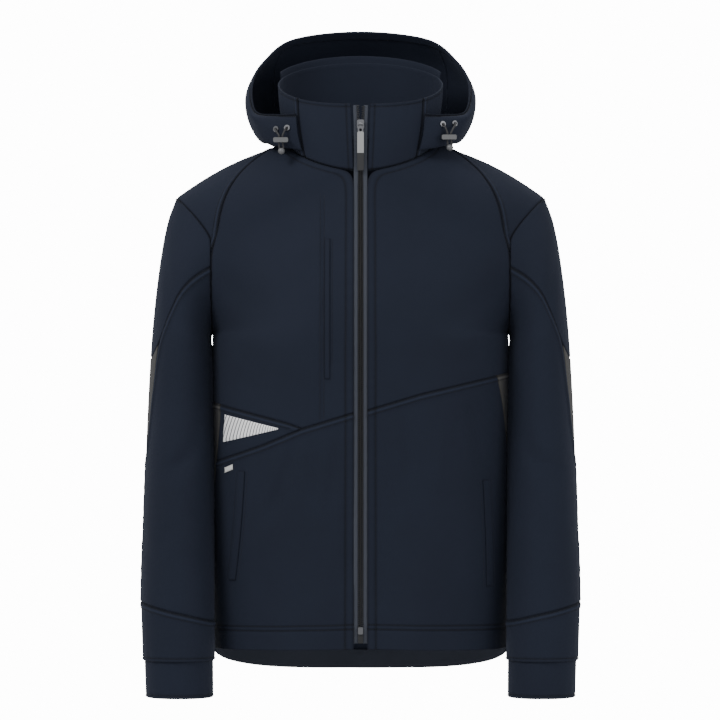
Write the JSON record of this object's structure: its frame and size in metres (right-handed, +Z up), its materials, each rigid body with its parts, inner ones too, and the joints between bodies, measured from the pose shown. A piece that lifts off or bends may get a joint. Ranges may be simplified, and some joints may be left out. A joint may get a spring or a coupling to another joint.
{
  "type": "hooded softshell jacket",
  "caption": "Hooded softshell jacket with a full front zip, slanted cross seams, dark side and elbow panels and storm cuffs, filled out as if worn",
  "frame": {"origin": "middle of the neck, level with the points where the shoulder seams meet the collar, where the wearer's neck and shoulders hold it", "axes": "+X to the viewer's right seen from the front, the front faces -Y, +Z up along the centre line"},
  "size_m": [0.5878, 0.3217, 0.9063],
  "materials": {
    "shell_cloth": "smooth matt woven face of a bonded softshell, navy",
    "contrast_cloth": "matt woven stretch cloth, dark warm grey",
    "inside_cloth": "soft matt facing, navy",
    "reflective_print": "silver reflective print with thin slanted dark lines",
    "label_cloth": "small woven label, bare",
    "zip_tape": "tight woven zip tape",
    "zip_teeth": "moulded plastic teeth",
    "metal": "satin nickel",
    "pull_rubber": "soft moulded rubber, light grey above and dark below",
    "lock_plastic": "moulded plastic",
    "cord": "braided elastic cord"
  },
  "bodies": {
    "jacket": {"back_lower": "shell_cloth", "back_upper": "shell_cloth", "chest_pocket_welt": "shell_cloth", "chin_panel_left": "shell_cloth", "chin_panel_right": "shell_cloth", "collar": "shell_cloth", "cord_end_left": "lock_plastic", "cord_end_right": "lock_plastic", "cord_lock_left": "lock_plastic", "cord_lock_right": "lock_plastic", "cuff_left": "shell_cloth", "cuff_right": "shell_cloth", "drawcord_left_1": "cord", "drawcord_left_2": "cord", "drawcord_right_1": "cord", "drawcord_right_2": "cord", "elbow_panel_left": "contrast_cloth", "elbow_panel_right": "contrast_cloth", "eyelet_left_1": "metal", "eyelet_left_2": "metal", "eyelet_right_1": "metal", "eyelet_right_2": "metal", "front_lower_left": "shell_cloth", "front_lower_right": "shell_cloth", "front_upper_left": "shell_cloth", "front_upper_right": "shell_cloth", "front_wedge_left": "shell_cloth", "hand_pocket_welt_left": "shell_cloth", "hand_pocket_welt_right": "shell_cloth", "hem_facing_back": "inside_cloth", "hem_facing_left": "inside_cloth", "hem_facing_right": "inside_cloth", "hood_centre": "shell_cloth", "hood_channel": "shell_cloth", "hood_neck_band": "shell_cloth", "hood_side_left": "shell_cloth", "hood_side_right": "shell_cloth", "label_tab": "label_cloth", "reflective_triangle": "reflective_print", "shoulder_yoke_left": "shell_cloth", "shoulder_yoke_right": "shell_cloth", "side_panel_left": "contrast_cloth", "side_panel_right": "contrast_cloth", "sleeve_cap_left": "shell_cloth", "sleeve_cap_right": "shell_cloth", "sleeve_left": "shell_cloth", "sleeve_right": "shell_cloth", "storm_cuff_left": "shell_cloth", "storm_cuff_right": "shell_cloth", "zip_bottom_box": "zip_teeth", "zip_bottom_stop": "metal", "zip_slider": "metal", "zip_tape_left": "zip_tape", "zip_tape_right": "zip_tape", "zip_teeth_left": "zip_teeth", "zip_teeth_right": "zip_teeth"},
    "pull": {"zip_pull_link": "metal", "zip_pull_tab": "pull_rubber"}
  },
  "joints": [
    {"name": "pull_lift", "type": "hinge", "parent": "jacket", "child": "pull", "pos_m": [0, -0.09298, 0.029], "axis": [-1, 0, 0], "range_deg": [0, 150]}
  ]
}
